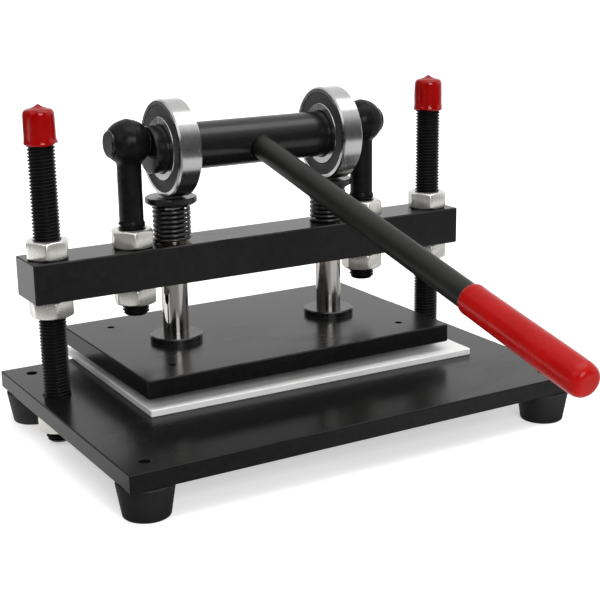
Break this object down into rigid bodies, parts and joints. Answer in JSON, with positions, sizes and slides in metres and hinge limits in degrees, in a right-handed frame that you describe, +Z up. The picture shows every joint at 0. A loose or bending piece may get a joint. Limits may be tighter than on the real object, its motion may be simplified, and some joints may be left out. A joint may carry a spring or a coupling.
{
  "type": "manual die cutting machine",
  "caption": "Lever press with an eccentric shaft that pushes a sprung platen onto a cutting board, on a flat base with rubber feet.",
  "frame": {"origin": "on the bench, under the middle of the whole machine's box with the lever at rest", "axes": "+X to the right along the press line, +Y away from the operator, +Z up; the lever points to -Y"},
  "size_m": [0.3716, 0.4718, 0.2507],
  "materials": {
    "black_plate": "blackened ground steel, semi-gloss",
    "black_oxide": "black oxide, soft sheen",
    "lever_steel": "dark bar steel, matt",
    "zinc_nut": "satin plated",
    "bearing_steel": "ground and polished",
    "cage_steel": "pressed steel",
    "seal_rubber": "moulded rubber",
    "bronze": "turned bronze",
    "chrome": "polished chrome",
    "cap_steel": "turned steel",
    "red_vinyl": "dipped vinyl, glossy",
    "foot_rubber": "moulded rubber",
    "white_board": "white polyethylene board"
  },
  "bodies": {
    "base": {"base_plate": "black_plate", "rubber_feet": "foot_rubber", "foot_studs": "black_oxide", "column_base_nuts": "zinc_nut", "left_column": "black_oxide", "right_column": "black_oxide", "left_column_cap": "red_vinyl", "right_column_cap": "red_vinyl"},
    "head": {"cross_beam": "black_plate", "column_lower_nuts": "zinc_nut", "column_upper_nuts": "zinc_nut", "eye_bolt_lower_nuts": "zinc_nut", "eye_bolt_upper_nuts": "zinc_nut", "left_eye_bolt": "black_oxide", "right_eye_bolt": "black_oxide", "left_guide_bush": "bronze", "right_guide_bush": "bronze", "left_spring": "black_oxide", "right_spring": "black_oxide"},
    "rocker": {"eccentric_shaft": "black_oxide", "lever_rod": "lever_steel", "lever_grip": "red_vinyl", "left_bearing_inner_ring": "bearing_steel", "right_bearing_inner_ring": "bearing_steel"},
    "left_roller": {"left_bearing_outer_ring": "bearing_steel", "left_bearing_seals": "seal_rubber"},
    "right_roller": {"right_bearing_outer_ring": "bearing_steel", "right_bearing_seals": "seal_rubber"},
    "left_ball_set": {"left_bearing_balls": "bearing_steel", "left_bearing_cage": "cage_steel"},
    "right_ball_set": {"right_bearing_balls": "bearing_steel", "right_bearing_cage": "cage_steel"},
    "press_plate": {"platen": "black_plate", "platen_screws": "black_oxide", "collar_grub_screws": "black_oxide", "left_guide_rod": "chrome", "right_guide_rod": "chrome", "left_rod_collar": "black_oxide", "right_rod_collar": "black_oxide", "left_plunger_cap": "cap_steel", "right_plunger_cap": "cap_steel"},
    "board": {"cutting_board": "white_board"}
  },
  "joints": [
    {"name": "beam_height", "type": "slide", "parent": "base", "child": "head", "axis": [0, 0, 1], "range_m": [-0.004, 0.06]},
    {"name": "lever_swing", "type": "hinge", "parent": "head", "child": "rocker", "pos_m": [0, 0.14544, 0.217], "axis": [1, 0, 0], "range_deg": [-62, 17]},
    {"name": "platen_press", "type": "slide", "parent": "head", "child": "press_plate", "axis": [0, 0, -1], "range_m": [-0.0049, 0.0014], "deforming": ["left_spring", "right_spring"]},
    {"name": "board_slide", "type": "slide", "parent": "base", "child": "board", "axis": [0, -1, 0], "range_m": [0, 0.15]},
    {"name": "left_roller_spin", "type": "hinge", "parent": "rocker", "child": "left_roller", "pos_m": [-0.0686, 0.14216, 0.21082], "axis": [1, 0, 0], "range_deg": [-17.5, 62.5]},
    {"name": "left_ball_set_spin", "type": "hinge", "parent": "rocker", "child": "left_ball_set", "pos_m": [-0.0686, 0.14216, 0.21082], "axis": [1, 0, 0], "range_deg": [-10.5, 37.6]},
    {"name": "right_roller_spin", "type": "hinge", "parent": "rocker", "child": "right_roller", "pos_m": [0.0686, 0.14216, 0.21082], "axis": [1, 0, 0], "range_deg": [-17.5, 62.5]},
    {"name": "right_ball_set_spin", "type": "hinge", "parent": "rocker", "child": "right_ball_set", "pos_m": [0.0686, 0.14216, 0.21082], "axis": [1, 0, 0], "range_deg": [-10.5, 37.6]}
  ],
  "couplings": [
    {"joint": "platen_press", "follows": "lever_swing", "m_per_rad": 0.0045},
    {"joint": "left_roller_spin", "follows": "lever_swing", "ratio": -1},
    {"joint": "left_ball_set_spin", "follows": "lever_swing", "ratio": -0.603},
    {"joint": "right_roller_spin", "follows": "lever_swing", "ratio": -1},
    {"joint": "right_ball_set_spin", "follows": "lever_swing", "ratio": -0.603}
  ]
}
